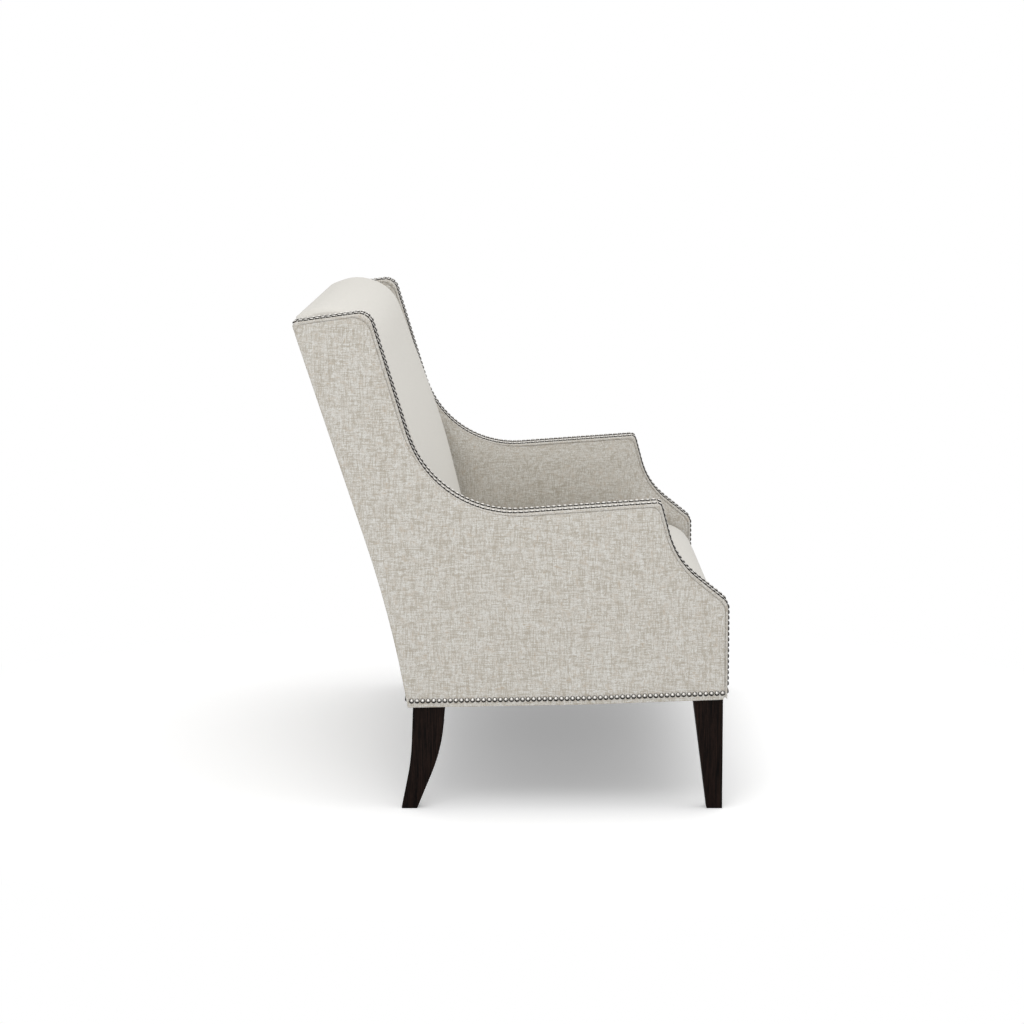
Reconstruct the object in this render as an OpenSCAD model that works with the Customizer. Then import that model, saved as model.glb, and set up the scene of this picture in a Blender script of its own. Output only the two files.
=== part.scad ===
// Two seat settee with winged arms, a tight seat and back, and nailhead trim.
// Lengths are millimetres. The settee faces -Y, its width runs along X, and Z is up.
// The origin is on the floor, midway across the width and the depth.
// Left and right are the sitter's, so the left arm stands at +X.

/* [Overall] */
// Width over the outer faces of the arms
settee_w = 1400; // [1200:10:2000]
// Depth from the seat front to the rear top edge
settee_d = 885; // [840:5:940]
// Height of the wing tops at their front corner
wing_h = 1015; // [960:5:1080]

/* [Side outline] */
// Fall of the wing top from its front corner to its rear edge
rear_top_drop = 21; // [5:1:60]
// Length of the wing top from front to rear
wing_top_w = 154; // [120:1:180]
// Height of the arm top at its front corner
arm_h = 629; // [600:1:680]
// Rise of the arm line from the wing line to its front corner
arm_rise = 33; // [5:1:60]
// Distance from the arm front back to the top corner of the arm
arm_setback = 138; // [110:1:170]
// Height of the lower front corner of the arm above the seat rails
nose_rise = 95; // [70:1:120]
// Height of the base edge at the front
base_front_h = 228; // [180:1:260]
// Fall of the base edge from the front to its bend
base_middle_drop = 11; // [4:1:14]
// Fall of the base edge from the front to the rear
base_rear_drop = 17; // [10:1:30]
// Height of the bend in the rear edge above the seat rails
rear_knee_rise = 78; // [40:1:120]
// Lean of the rear edge above its bend, in degrees
rear_lean = 18.3; // [14:0.1:20]
// Lean of the rear edge below its bend, in degrees
heel_lean = 10.5; // [6:0.1:13]
// Lean of the wing front, in degrees
wing_lean = 17; // [13:0.1:20]
// Lean of the arm front below its top corner, in degrees
arm_face_lean = 15; // [8:0.1:20]

/* [Corner radii] */
// Radius of the rear top corner
rear_top_r = 8; // [6:1:14]
// Radius of the front corner of the wing top
wing_top_r = 28; // [20:1:50]
// Radius of the sweep from the wing down to the arm
arm_sweep_r = 228; // [150:1:260]
// Radius of the top front corner of the arm
arm_front_r = 10; // [8:1:30]
// Radius of the hollow below the top front corner
arm_face_r = 171; // [100:1:200]
// Radius of the lower front corner of the arm
nose_r = 25; // [16:1:40]
// Radius of the bend in the rear edge
rear_knee_r = 2200; // [1000:50:2500]
// Radius of the bend in the base edge
base_knee_r = 3000; // [1000:50:4000]

/* [Arms] */
// Thickness of an arm
arm_t = 90; // [80:1:120]
// Thickness of the covered border along the arm edge
border_t = 8; // [5:0.5:10]
// Thickness of the covered outer panel
outer_panel_t = 5; // [4:0.5:7]
// Thickness of the padded inner panel
inner_panel_t = 12; // [8:0.5:16]
// Thickness of the plywood sides
ply_t = 18; // [12:0.5:20]
// Diameter of the lightening holes in the plywood
ply_hole_d = 84; // [40:1:90]
// Depth of the filler rails between the plywood sides
filler_d = 34; // [25:1:40]
// Length of the filler rail under the arm top
arm_filler_l = 300; // [200:5:320]

/* [Seat] */
// Height of the seat rails
rail_d = 102; // [80:1:115]
// Thickness of the seat at its front corner, before it is rounded
seat_front_t = 76; // [66:1:90]
// Radius of the seat front roll
seat_nose_r = 76; // [50:1:80]
// Thickness of the seat at the arms
seat_t = 110; // [96:1:130]
// Thickness of the seat where it meets the back
seat_rear_t = 98; // [88:1:105]
// Extra height of the seat crown midway between the arms
seat_crown = 20; // [5:1:30]
// Distance that the seat front stands out from the arm fronts
seat_proud = 4; // [2:0.5:8]
// Thickness of the seat wadding and cover at the arms
seat_cover_t = 8; // [6:0.5:12]

/* [Back] */
// Height of the lower edge of the inside back above the seat rails
back_foot_rise = 66; // [60:1:80]
// Thickness of the back at its lower edge
back_foot_t = 144; // [130:1:155]
// Height of the bend in the inside back above its lower edge
lumbar_rise = 273; // [200:1:320]
// Lean of the inside back below its bend, in degrees
lumbar_lean = 14; // [10:0.1:17]
// Lean of the inside back above its bend, in degrees
back_lean = 20; // [17:0.1:22]
// Slope of the back top down to its rear edge, in degrees
back_top_slope = 20; // [15:0.5:24]
// Radius of the roll at the top of the inside back
back_roll_r = 100; // [70:1:110]
// Extra thickness of the inside back midway between the arms
back_crown = 16; // [5:1:20]
// Thickness of the back wadding and cover at the arms
back_cover_t = 8; // [6:0.5:12]

/* [Seat frame] */
// Thickness of the seat rails
rail_t = 25; // [18:1:32]
// Leg length of the triangular corner blocks
brace_l = 90; // [60:1:110]
// Depth of the corner blocks
brace_d = 38; // [20:1:50]
// Width of the middle stretcher
stretcher_w = 45; // [30:1:60]
// Depth of the middle stretcher
stretcher_d = 60; // [40:1:70]
// Number of sinuous springs under the seat
spring_count = 9; // [6:1:10]
// Thickness of the spring wire
spring_wire_t = 4; // [3:0.5:5]
// Length of the straight bars across a spring
spring_bar = 14; // [12:1:24]
// Number of loops in a spring
spring_loops = 15; // [11:2:19]
// Height of the spring clips
clip_h = 7; // [6.5:0.5:9]

/* [Back frame] */
// Depth of the back posts
post_d = 45; // [35:1:50]
// Width of the back posts
post_w = 30; // [20:1:40]
// Height of the top rail of the back
top_rail_h = 55; // [40:1:70]
// Distance from the rear top edge down to the top rail
top_rail_drop = 24; // [18:1:40]
// Height of the tack rail that the inside back is fixed to
tack_rail_h = 50; // [30:1:60]
// Width of the webbing
web_w = 50; // [40:1:60]
// Thickness of the webbing
web_t = 2; // [1.5:0.5:3]
// Number of upright webbing straps
upright_webs = 7; // [5:1:8]
// Number of straps across the back
cross_webs = 4; // [3:1:5]

/* [Nailheads] */
// Diameter of a nailhead
nail_d = 11; // [9:0.5:12]
// Height of a nailhead's dome
nail_dome_h = 4; // [3:0.1:5]
// Gap between one nailhead and the next
nail_gap = 0.3; // [0.2:0.1:20]
// Distance from the arm faces to the two rows on the border
row_inset = 19; // [12:1:28]
// Distance from the base edge up to the row along it
base_row_rise = 14; // [9:1:20]

/* [Legs] */
// Width and depth of the front legs at the top
front_leg_w = 61; // [45:1:66]
// Depth of the rear legs at the top
rear_leg_w = 67; // [45:1:70]
// Width and depth of the legs at the foot
foot_w = 32; // [24:1:40]
// Distance from the arm fronts back to the front legs
front_leg_setback = 8.5; // [5:0.5:20]
// Distance from the rear lower edge forward to the rear legs
rear_leg_setback = 11; // [6:0.5:20]
// Distance from the arm faces in to the legs
leg_inset = 10; // [6:0.5:16]
// Distance that the rear feet kick back
rear_leg_kick = 25; // [10:1:40]
// Radius of the sweep at the rear of the rear legs
heel_r = 500; // [300:10:700]
// Radius of the sweep at the front of the rear legs
shin_r = 350; // [200:10:500]
// Diameter of the bolts that hold the legs
bolt_d = 8; // [6:0.5:10]
// Depth of the bolts in the legs and in the blocks above them
bolt_reach = 34; // [20:1:40]

/* [Hidden] */

// Clearance between pieces that lie against each other
fit = 0.3;
// Overrun of every cut
over = 2;
// Turn between two points of a rounded corner, in degrees
arc_step = 5;
// Fewest steps in a rounded corner
arc_steps_min = 6;
// Smallest radius left when a rounded corner is inset
sharp_r = 0.5;
// Thickness of the dust cover, the seat deck and other cloth
cloth_t = 1.5;
$fn = 32;

linen = "#c9c2b4";
cream = "#e6e0d2";
hardwood = "#c8a878";
plywood = "#d8bf94";
espresso = "#2b211c";
pewter = "#8f8a82";
steel = "#9aa0a6";
black_cloth = "#303030";
foam = "#efe6b8";
jute = "#b9a27a";

// Side outline, anticlockwise from the rear lower corner, each corner as [y, z, radius]
half_w = settee_w / 2;
half_d = settee_d / 2;
inner_x = half_w - arm_t;
front_y = -half_d + seat_proud;
rail_h = base_front_h + rail_d;
base_middle_h = base_front_h - base_middle_drop;
base_rear_h = base_front_h - base_rear_drop;
rear_top_h = wing_h - rear_top_drop;
rear_knee_h = rail_h + rear_knee_rise;
nose_h = rail_h + nose_rise;
arm_low_h = arm_h - arm_rise;
arm_bend_share = 0.417;
arm_face_h = nose_h + (arm_h - nose_h) * arm_bend_share;
rear_knee_y = half_d - (rear_top_h - rear_knee_h) * tan(rear_lean);
rear_foot_y = rear_knee_y - (rear_knee_h - base_rear_h) * tan(heel_lean);
wing_y = half_d - wing_top_w;
arm_front_y = front_y + arm_setback;
base_knee_share = 0.55;
base_knee_y = rear_foot_y + (front_y - rear_foot_y) * base_knee_share;
side_corners = [
    [rear_foot_y, base_rear_h, 0],
    [rear_knee_y, rear_knee_h, rear_knee_r],
    [half_d, rear_top_h, rear_top_r],
    [wing_y, wing_h, wing_top_r],
    [wing_y - (wing_h - arm_low_h) * tan(wing_lean), arm_low_h, arm_sweep_r],
    [arm_front_y, arm_h, arm_front_r],
    [arm_front_y - (arm_h - arm_face_h) * tan(arm_face_lean), arm_face_h, arm_face_r],
    [front_y, nose_h, nose_r],
    [front_y, base_front_h, 0],
    [base_knee_y, base_middle_h, base_knee_r]
];
border_first_index = 2;
border_last_index = len(side_corners) - 2;

// Plain outline work on corners and on open or closed rows of points
function spot(c) = [c[0], c[1]];
function heading(a, b) = (spot(b) - spot(a)) / norm(spot(b) - spot(a));
function left_of(v) = [-v[1], v[0]];
function turned(v, a) = [v[0] * cos(a) - v[1] * sin(a), v[0] * sin(a) + v[1] * cos(a)];
function turn_at(u, v) = atan2(cross(u, v), u * v);
function mix(a, b, share) = a + (b - a) * share;
function flipped(row) = [for (i = [len(row) - 1:-1:0]) row[i]];

// Radius of a corner once its edges have moved inwards by d
function inset_radius(r, turn, d) = r == 0 ? 0 : max(r - sign(turn) * d, sharp_r);

// Corners with edge i, which runs from corner i to the next, moved inwards by d[i]
function inset(c, d) = [
    for (i = [0:len(c) - 1])
        let (
            n = len(c),
            u = heading(c[(i + n - 1) % n], c[i]),
            v = heading(c[i], c[(i + 1) % n]),
            a = left_of(u),
            b = left_of(v),
            k = a * b,
            before = d[(i + n - 1) % n],
            after = d[i],
            p = spot(c[i]) + (a * (before - after * k) + b * (after - before * k)) / (1 - k * k)
        )
        [p[0], p[1], inset_radius(c[i][2], turn_at(u, v), max(before, after))]
];

// Length of edge that a rounded corner takes
function reach(before, here, after) =
    here[2] * tan(abs(turn_at(heading(before, here), heading(here, after))) / 2);

// Points of corner i, with its radius limited so that it shares its edges with the next corners
function corner_arc(c, i, steps) =
    let (
        n = len(c),
        here = c[i],
        before = c[(i + n - 1) % n],
        after = c[(i + 1) % n],
        u = heading(before, here),
        v = heading(here, after),
        turn = turn_at(u, v),
        own = reach(before, here, after),
        taken_before = own + reach(c[(i + n - 2) % n], before, here),
        taken_after = own + reach(here, after, c[(i + 2) % n]),
        room_before = norm(spot(here) - spot(before)) / max(taken_before, fit),
        room_after = norm(spot(after) - spot(here)) / max(taken_after, fit),
        r = here[2] * min(1, room_before, room_after),
        start = spot(here) - u * r * tan(abs(turn) / 2),
        hub = start + left_of(u) * r * sign(turn),
        count = steps > 0 ? steps : max(arc_steps_min, round(abs(turn) / arc_step))
    )
    r == 0 ? [spot(here)] : [for (k = [0:count]) hub + turned(start - hub, turn * k / count)];

// Points of the outline from corner first to corner last, with as many steps in each corner as asked
function path(c, first, last, steps = 0) = [
    for (i = [first:last])
        each corner_arc(c, i, steps)
];
function outline(c) = path(c, 0, len(c) - 1);

// Side outline moved in by one distance at the rear, one along the border and one at the base.
// The further in, the softer its corners.
function eased(c, more) = [for (p = c) [p[0], p[1], p[2] == 0 ? 0 : p[2] + more]];
function layer(rear, edge, base) =
    inset(eased(side_corners, 2 * edge), [rear, rear, edge, edge, edge, edge, edge, edge, base, base]);
border_in = border_t + fit;
core_corners = layer(border_in, border_in, cloth_t);
panel_corners = layer(0, border_in, 0);

// Length along a row of points up to point i, and the place at length s with its direction
function run_to(row, i) = i == 0 ? 0 : run_to(row, i - 1) + norm(row[i] - row[i - 1]);
function runs(row) = [for (i = [0:len(row) - 1]) run_to(row, i)];
function piece_at(lengths, s) = max([for (i = [0:len(lengths) - 2]) if (lengths[i] <= s) i]);
function place_at(row, lengths, s) =
    let (i = piece_at(lengths, s))
    [mix(row[i], row[i + 1], (s - lengths[i]) / (lengths[i + 1] - lengths[i])), heading(row[i], row[i + 1])];

// Extrusion of a side view shape from x_low to x_high
module across(x_low, x_high) {
    translate([x_low, 0, 0])
        rotate([90, 0, 90])
            linear_extrude(x_high - x_low)
                children();
}

// Extrusion of a front view shape from y_low to y_high
module lengthwise(y_low, y_high) {
    translate([0, y_high, 0])
        rotate([90, 0, 0])
            linear_extrude(y_high - y_low)
                children();
}

module to_right() {
    mirror([1, 0, 0])
        children();
}

module both_sides() {
    children();
    to_right()
        children();
}

// Skin over rings with equal numbers of points, closed by the first and last ring
module loft(rings) {
    count = len(rings[0]);
    corners = [for (ring = rings) each ring];
    sides = [
        for (i = [0:len(rings) - 2])
            for (j = [0:count - 1])
                let (a = i * count + j, b = i * count + (j + 1) % count)
                each [[a, b, b + count], [a, b + count, a + count]]
    ];
    ends = [
        [for (j = [count - 1:-1:0]) j],
        [for (j = [0:count - 1]) (len(rings) - 1) * count + j]
    ];
    polyhedron(corners, concat(sides, ends));
}

// Plywood arm sides
outer_ply_x = half_w - outer_panel_t - ply_t;
inner_ply_x = inner_x + inner_panel_t;
core_low_x = inner_ply_x + ply_t;
hole_rise = 66;
hole_gap = 40;
wing_hole_gap = 26;

function rear_y(z) = z > rear_knee_h
    ? half_d - (rear_top_h - z) * tan(rear_lean)
    : rear_knee_y - (rear_knee_h - z) * tan(heel_lean);
function wing_front_y(z) = wing_y - (wing_h - z) * tan(wing_lean);

// Rows of as many lightening holes as there is room for, above the seat rails and up the wing
module arm_side_shape() {
    row_h = rail_h + hole_rise;
    row_front_y = front_y + border_in + filler_d;
    row_rear_y = rear_y(row_h) - border_in - filler_d;
    step = ply_hole_d + hole_gap;
    count = floor((row_rear_y - row_front_y + hole_gap) / step);
    wing_step = ply_hole_d + wing_hole_gap;
    wing_count = floor((wing_h - arm_h - border_in) / wing_step);
    difference() {
        polygon(outline(core_corners));
        for (i = [0:count - 1])
            translate([(row_front_y + row_rear_y) / 2 + (i - (count - 1) / 2) * step, row_h])
                circle(d = ply_hole_d, $fn = 48);
        for (i = [0:wing_count - 1])
            let (z = arm_h + wing_hole_gap + i * wing_step)
            translate([(wing_front_y(z) + rear_y(z)) / 2, z])
                circle(d = ply_hole_d, $fn = 48);
    }
}

module left_outer_ply() {
    color(plywood)
        across(outer_ply_x, outer_ply_x + ply_t)
            arm_side_shape();
}

module left_inner_ply() {
    color(plywood)
        across(inner_ply_x, inner_ply_x + ply_t)
            arm_side_shape();
}

// Filler rails between the plywood sides, under the border
filler_corners = layer(border_in, border_in + filler_d, cloth_t);
arm_filler_back_y = arm_front_y + arm_filler_l;

module edge_band() {
    difference() {
        polygon(outline(core_corners));
        polygon(outline(filler_corners));
    }
}

module window(y_low, y_high, z_low, z_high) {
    translate([y_low, z_low])
        square([y_high - y_low, z_high - z_low]);
}

module left_arm_fillers() {
    color(hardwood)
        across(core_low_x, outer_ply_x) {
            intersection() {
                edge_band();
                window(arm_front_y, arm_filler_back_y, arm_low_h - 2 * filler_d, wing_h);
            }
            intersection() {
                edge_band();
                window(wing_y, half_d, arm_h, wing_h);
            }
            intersection() {
                edge_band();
                window(front_y, arm_front_y - fit, rail_h, arm_face_h);
            }
        }
}

// Blocks that the leg bolts screw into
leg_block_h = 70;
leg_x = half_w - leg_inset;
front_leg_y = front_y + front_leg_setback;
rear_leg_y = rear_foot_y - rear_leg_setback;
front_bolt_y = front_leg_y + front_leg_w / 2;
rear_bolt_y = rear_leg_y - rear_leg_w / 2;
bolt_x = (core_low_x + outer_ply_x) / 2;

bolt_places = [[front_bolt_y, base_front_h], [rear_bolt_y, base_rear_h]];

// Bolt at a place as [y, z of the middle of the bolt], grown on every side by more
module bolt(place, more) {
    translate([bolt_x, place[0], place[1] - bolt_reach - more])
        cylinder(d = bolt_d + 2 * more, h = 2 * (bolt_reach + more));
}

module left_leg_blocks() {
    color(hardwood)
        difference() {
            across(core_low_x, outer_ply_x)
                intersection() {
                    polygon(outline(core_corners));
                    union() {
                        window(front_leg_y, front_leg_y + front_leg_w, 0, base_front_h + leg_block_h);
                        window(rear_leg_y - rear_leg_w, rear_leg_y, 0, base_rear_h + leg_block_h);
                    }
                }
            for (place = bolt_places)
                bolt(place, fit);
        }
}

// Seat rails
rail_front_y = front_y + border_in;
post_face = border_in + post_d;
frame_corners = layer(post_face, border_in, cloth_t);
seat_frame_corners = layer(post_face + rail_t, border_in, cloth_t);

module front_rail() {
    color(hardwood)
        across(-inner_ply_x, inner_ply_x)
            intersection() {
                polygon(outline(core_corners));
                window(rail_front_y, rail_front_y + rail_t, 0, rail_h);
            }
}

module rear_rail() {
    color(hardwood)
        across(-inner_ply_x, inner_ply_x)
            back_layer(border_in, post_face + rail_t, 0, rail_h);
}

module left_side_rail() {
    color(hardwood)
        across(inner_ply_x - rail_t, inner_ply_x)
            intersection() {
                polygon(outline(seat_frame_corners));
                window(rail_front_y + rail_t, half_d, 0, rail_h);
            }
}

module middle_stretcher() {
    color(hardwood)
        across(-stretcher_w / 2, stretcher_w / 2)
            intersection() {
                polygon(outline(seat_frame_corners));
                window(rail_front_y + rail_t, half_d, 0, base_rear_h + stretcher_d);
            }
}

// Triangular blocks in the four corners of the seat frame
brace_x = inner_ply_x - rail_t;
brace_low_h = base_front_h + cloth_t;
brace_front_y = rail_front_y + rail_t;
brace_rear_y = rear_y(brace_low_h) - (post_face + rail_t) / cos(heel_lean) - fit;

module brace(y, way) {
    translate([0, 0, brace_low_h])
        linear_extrude(brace_d)
            polygon([[brace_x, y], [brace_x, y + way * brace_l], [brace_x - brace_l, y]]);
}

module corner_braces() {
    color(hardwood)
        both_sides() {
            brace(brace_front_y, 1);
            brace(brace_rear_y, -1);
        }
}

// Layer of the back that follows the rear outline, between two distances from it
module back_layer(near, far, z_low, z_high) {
    intersection() {
        difference() {
            polygon(outline(layer(near, border_in, cloth_t)));
            polygon(outline(layer(far, border_in, cloth_t)));
        }
        window(-half_d, half_d, z_low, z_high);
    }
}

// Back frame
top_rail_top = rear_top_h - top_rail_drop;
top_rail_low = top_rail_top - top_rail_h;

module back_posts() {
    spacing = (2 * inner_ply_x - post_w) / 3;
    color(hardwood)
        for (i = [0:3])
            across(-inner_ply_x + i * spacing, -inner_ply_x + i * spacing + post_w)
                back_layer(border_in, post_face, rail_h, top_rail_low);
}

module back_top_rail() {
    color(hardwood)
        across(-inner_ply_x, inner_ply_x)
            back_layer(border_in, post_face, top_rail_low, top_rail_top);
}

// Rail and webbing laid on the front of the back frame
back_foot_h = rail_h + back_foot_rise;
tack_rail_low = back_foot_h - tack_rail_h;

module back_tack_rail() {
    color(hardwood)
        across(-inner_ply_x, inner_ply_x)
            back_layer(post_face, post_face + rail_t, tack_rail_low, back_foot_h - fit);
}

module back_upright_webs() {
    spacing = 2 * inner_x / upright_webs;
    color(jute)
        for (i = [0:upright_webs - 1])
            let (x = -inner_x + (i + 0.5) * spacing)
            across(x - web_w / 2, x + web_w / 2)
                back_layer(post_face, post_face + web_t, back_foot_h, top_rail_top - web_w / 2);
}

module back_cross_webs() {
    spacing = (top_rail_low - back_foot_h) / cross_webs;
    color(jute)
        across(-inner_x, inner_x)
            for (i = [0:cross_webs - 1])
                let (z = back_foot_h + (i + 0.5) * spacing)
                back_layer(post_face + web_t, post_face + 2 * web_t, z - web_w / 2, z + web_w / 2);
}

// Sinuous springs, each one zigzag of wire that lies flat
spring_front_y = rail_front_y + rail_t / 2;
spring_rear_y = rear_y(rail_h) - post_face / cos(heel_lean) - rail_t / 2;
spring_step = (spring_rear_y - spring_front_y) / spring_loops;
spring_spacing = 2 * brace_x / spring_count;
spring_low = rail_h + (clip_h - spring_wire_t) / 2;
spring_places = [for (i = [0:spring_count - 1]) -brace_x + (i + 0.5) * spring_spacing];

// Half turn of wire that opens towards -X
module spring_loop() {
    difference() {
        circle(d = spring_step + spring_wire_t, $fn = 48);
        circle(d = spring_step - spring_wire_t, $fn = 48);
        translate([-spring_step, -spring_step])
            square([spring_step, 2 * spring_step]);
    }
}

module spring() {
    linear_extrude(spring_wire_t)
        union() {
            for (i = [0:spring_loops])
                translate([-spring_bar / 2, i * spring_step - spring_wire_t / 2])
                    square([spring_bar, spring_wire_t]);
            for (i = [0:spring_loops - 1])
                let (way = i % 2 == 0 ? 1 : -1)
                translate([way * spring_bar / 2, (i + 0.5) * spring_step])
                    rotate(way > 0 ? 0 : 180)
                        spring_loop();
        }
}

module seat_springs() {
    color(steel)
        for (x = spring_places)
            translate([x, spring_front_y, spring_low])
                spring();
}

// Clips that hold the springs down on the front and rear rails
clip_w = spring_bar - 2 * fit;
clip_d = 2 * clip_h;
clip_slot = spring_wire_t + 2 * fit;

module clip() {
    translate([-clip_w / 2, 0, 0])
        rotate([90, 0, 90])
            linear_extrude(clip_w)
                difference() {
                    translate([-clip_d / 2, 0])
                        square([clip_d, clip_h]);
                    translate([-clip_slot / 2, (clip_h - clip_slot) / 2])
                        square(clip_slot);
                }
}

module spring_clips() {
    color(steel)
        for (x = spring_places)
            for (y = [spring_front_y, spring_rear_y])
                translate([x, y, rail_h])
                    clip();
}

// Cloth over the springs, under the seat foam
deck_low = rail_h + clip_h;
deck_side_gap = 2;

module seat_deck() {
    color(black_cloth)
        across(-inner_x + deck_side_gap, inner_x - deck_side_gap)
            intersection() {
                polygon(outline(frame_corners));
                window(rail_front_y, half_d, deck_low, deck_low + cloth_t);
            }
}

// Inside back, anticlockwise from the rear top edge, before any crown
back_foot_y = rear_y(back_foot_h) - back_foot_t;
lumbar_h = back_foot_h + lumbar_rise;
lumbar_y = back_foot_y + (lumbar_h - back_foot_h) * tan(lumbar_lean);
roll_h = (half_d - lumbar_y + rear_top_h / tan(back_top_slope) + lumbar_h * tan(back_lean))
    / (tan(back_lean) + 1 / tan(back_top_slope));
roll_y = lumbar_y + (roll_h - lumbar_h) * tan(back_lean);
lumbar_r = 1400;
roll_bulge_share = 0.3;

// Corners of the back with its front pushed forward by bulge
function back_corners(bulge) = [
    [half_d, rear_top_h, rear_top_r],
    [roll_y - bulge * roll_bulge_share, roll_h, back_roll_r],
    [lumbar_y - bulge, lumbar_h, lumbar_r],
    [back_foot_y, back_foot_h, 0],
    [rear_y(back_foot_h), back_foot_h, 0]
];
function back_inside(t) = inset(back_corners(0), [t, t, t, 0, border_in]);

module back_foam() {
    color(foam)
        across(-inner_x + over, inner_x - over)
            difference() {
                polygon(outline(back_inside(back_cover_t + fit)));
                back_layer(-over, post_face + 2 * web_t + fit, 0, top_rail_top + fit);
                window(back_foot_y - over, half_d, 0, back_foot_h + fit);
            }
}

// Share of the full crown at a place across the width, falling to nothing at the arms
crown_power_share = 2.6;
function crown_share(x) = 1 - pow(abs(x) / (inner_x - fit), crown_power_share);

// Places across the width at which a padded cover is drawn, each as [x, distance pulled in]
cover_arc_steps = 8;
middle_steps = 7;
edge_steps = 3;
middle_power_share = 0.6;
edge_roll_share = 0.8;
function edge_stations(r) = [
    for (k = [1:edge_steps])
        let (a = 90 * k / edge_steps)
        [inner_x - fit - r * (1 - sin(a)), r * (1 - cos(a))]
];
function stations(r) = [
    for (p = flipped(edge_stations(r))) [-p[0], p[1]],
    for (k = [-middle_steps:middle_steps])
        [sign(k) * pow(abs(k) / middle_steps, middle_power_share) * (inner_x - fit - r), 0],
    each edge_stations(r)
];

// Ring of points at x between an outer and an inner row of side view points
function cover_ring(x, outer, inner) = [for (p = concat(outer, flipped(inner))) [x, p[0], p[1]]];

module back_cover() {
    inner = path(back_inside(back_cover_t), 0, 3, cover_arc_steps);
    color(cream)
        loft([
            for (p = stations(back_cover_t * edge_roll_share))
                let (
                    corners = back_corners(back_crown * crown_share(p[0])),
                    outer = path(inset(corners, [p[1], p[1], p[1], 0, 0]), 0, 3, cover_arc_steps)
                )
                cover_ring(p[0], outer, inner)
        ]);
}

// Seat, anticlockwise from where it meets the back, before any crown
seam_drop = 8;
seat_seam_h = rail_h - seam_drop;
seat_front_h = rail_h + seat_front_t;
seat_top_h = rail_h + seat_t;
seat_rear_h = rail_h + seat_rear_t;
seat_middle_share = 0.5;
seat_top_r = 900;
seat_rear_crown_share = 0.5;

// Place of the front of the inside back at height z, under a share of its full crown
function back_face_y(z, share) =
    mix(back_foot_y, lumbar_y - back_crown * share, (z - back_foot_h) / (lumbar_h - back_foot_h)) - 2 * fit;

// Corners of the seat under a share of its full crown, down to low and thinner by t
function seat_corners(share, low, t) =
    let (rear_h = seat_rear_h + seat_crown * share * seat_rear_crown_share)
    [
        [back_face_y(rear_h, share), rear_h - t, 0],
        [mix(-half_d, back_foot_y, seat_middle_share), seat_top_h + seat_crown * share - t, seat_top_r],
        [-half_d + t, seat_front_h - t, seat_nose_r - t],
        [-half_d + t, low, 0],
        [back_face_y(low, 0), low, 0]
    ];

module seat_foam() {
    color(foam)
        across(-inner_x + over, inner_x - over)
            polygon(outline(seat_corners(0, deck_low + cloth_t, seat_cover_t + fit)));
}

module seat_cover() {
    inner = path(seat_corners(0, seat_seam_h, seat_cover_t), 0, 3, cover_arc_steps);
    color(cream)
        loft([
            for (p = stations(seat_cover_t * edge_roll_share))
                let (outer = path(seat_corners(crown_share(p[0]), seat_seam_h, p[1]), 0, 3, cover_arc_steps))
                cover_ring(p[0], outer, inner)
        ]);
}

// Flat covered panels
module outside_back() {
    edge_x = half_w - outer_panel_t - fit;
    color(linen)
        across(-edge_x, edge_x)
            intersection() {
                difference() {
                    polygon(outline(side_corners));
                    polygon(outline(layer(border_t, -over, -over)));
                }
                window(-half_d, half_d, 0, border_start_h - fit);
            }
}

module left_outer_panel() {
    color(linen)
        across(half_w - outer_panel_t, half_w)
            polygon(outline(panel_corners));
}

module left_inner_panel() {
    color(linen)
        across(inner_x, inner_x + inner_panel_t)
            intersection() {
                polygon(outline(layer(post_face + rail_t + fit, border_in, 0)));
                window(front_y, half_d, rail_h + fit, wing_h);
            }
}

module front_panel() {
    color(cream)
        across(-inner_x + fit, inner_x - fit)
            window(front_y, front_y + border_t, base_front_h, seat_seam_h - fit);
}

// Covered border round the arm and wing, with its two long edges rounded
border_row = path(side_corners, border_first_index, border_last_index);
border_start_h = border_row[0][1];
border_edge_steps = 3;

module left_border() {
    rounding = border_t - sharp_r;
    low_x = inner_x + fit;
    high_x = half_w - fit;
    angles = [for (i = [0:border_edge_steps]) 90 * i / border_edge_steps];
    section = concat(
        [[low_x, border_t]],
        [for (a = angles) [low_x + rounding * (1 - cos(a)), rounding * (1 - sin(a))]],
        [for (a = angles) [high_x - rounding * (1 - sin(a)), rounding * (1 - cos(a))]],
        [[high_x, border_t]]
    );
    rows = [for (s = section) path(layer(s[1], s[1], s[1]), border_first_index, border_last_index)];
    color(linen)
        loft([
            for (i = [0:len(border_row) - 1])
                [for (j = [0:len(section) - 1]) [section[j][0], rows[j][i][0], rows[j][i][1]]]
        ]);
}

// Cloth under the frame, cut away round the legs
module dust_cover() {
    color(black_cloth)
        difference() {
            across(-half_w + outer_panel_t + fit, half_w - outer_panel_t - fit)
                difference() {
                    polygon(outline(layer(border_in, border_in, 0)));
                    polygon(outline(layer(-over, -over, cloth_t)));
                }
            both_sides() {
                translate([leg_x - front_leg_w - fit, front_leg_y - fit, 0])
                    cube([front_leg_w + 2 * fit, front_leg_w + 2 * fit, rail_h]);
                translate([leg_x - front_leg_w - fit, rear_leg_y - rear_leg_w - fit, 0])
                    cube([front_leg_w + 2 * fit, rear_leg_w + 2 * fit, rail_h]);
            }
        }
}

// Domed nailheads
nail_pitch = nail_d + nail_gap;
nail_ball_r = (nail_d * nail_d / 4 + nail_dome_h * nail_dome_h) / (2 * nail_dome_h);

module nail() {
    translate([0, 0, fit])
        rotate_extrude($fn = 24)
            intersection() {
                translate([0, nail_dome_h - nail_ball_r])
                    circle(r = nail_ball_r, $fn = 48);
                square([nail_d, nail_dome_h]);
            }
}

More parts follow.
